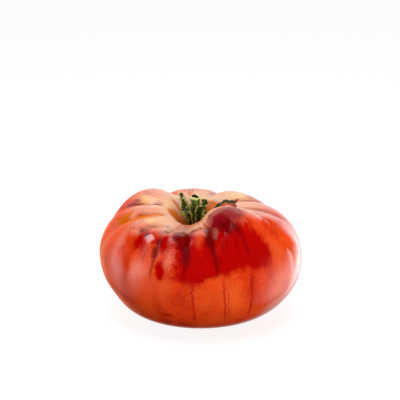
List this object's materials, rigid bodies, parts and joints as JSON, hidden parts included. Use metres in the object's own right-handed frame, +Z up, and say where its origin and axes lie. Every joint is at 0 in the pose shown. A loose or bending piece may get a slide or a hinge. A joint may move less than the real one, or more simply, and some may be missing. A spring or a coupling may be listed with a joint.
{
  "type": "beefsteak tomato",
  "caption": "Ripe ribbed beefsteak tomato with a dried green stem stub and sepals in its stem hollow, resting on its flat blossom end.",
  "frame": {"origin": "middle of the flat spot of the blossom end that the tomato stands on, at its lowest plane", "axes": "+Z up to the stem; -Y is the side with the tall shoulder and the small front ribs, and +X is to the right when that side is faced"},
  "size_m": [0.0951, 0.0895, 0.0603],
  "materials": {
    "tomato_skin": "smooth waxy fruit skin, orange-red with a dark purple blush on the shoulders",
    "tomato_stem": "dull green, ridged, with a hollow cut end",
    "sepal_green": "dull dark green wilted leaf with paler edges",
    "sepal_dried": "dry wrinkled leaf turned olive and orange-brown"
  },
  "bodies": {
    "root": {"fruit": "tomato_skin", "stem": "tomato_stem", "sepal_hooked": "sepal_green", "sepal_left": "sepal_green", "sepal_front_left": "sepal_green", "sepal_front": "sepal_green", "sepal_front_right": "sepal_green", "sepal_low_right": "sepal_green", "sepal_back_right": "sepal_green", "sepal_back": "sepal_green", "sepal_back_left": "sepal_green", "sepal_draped": "sepal_dried", "sepal_long": "sepal_dried"}
  },
  "joints": []
}
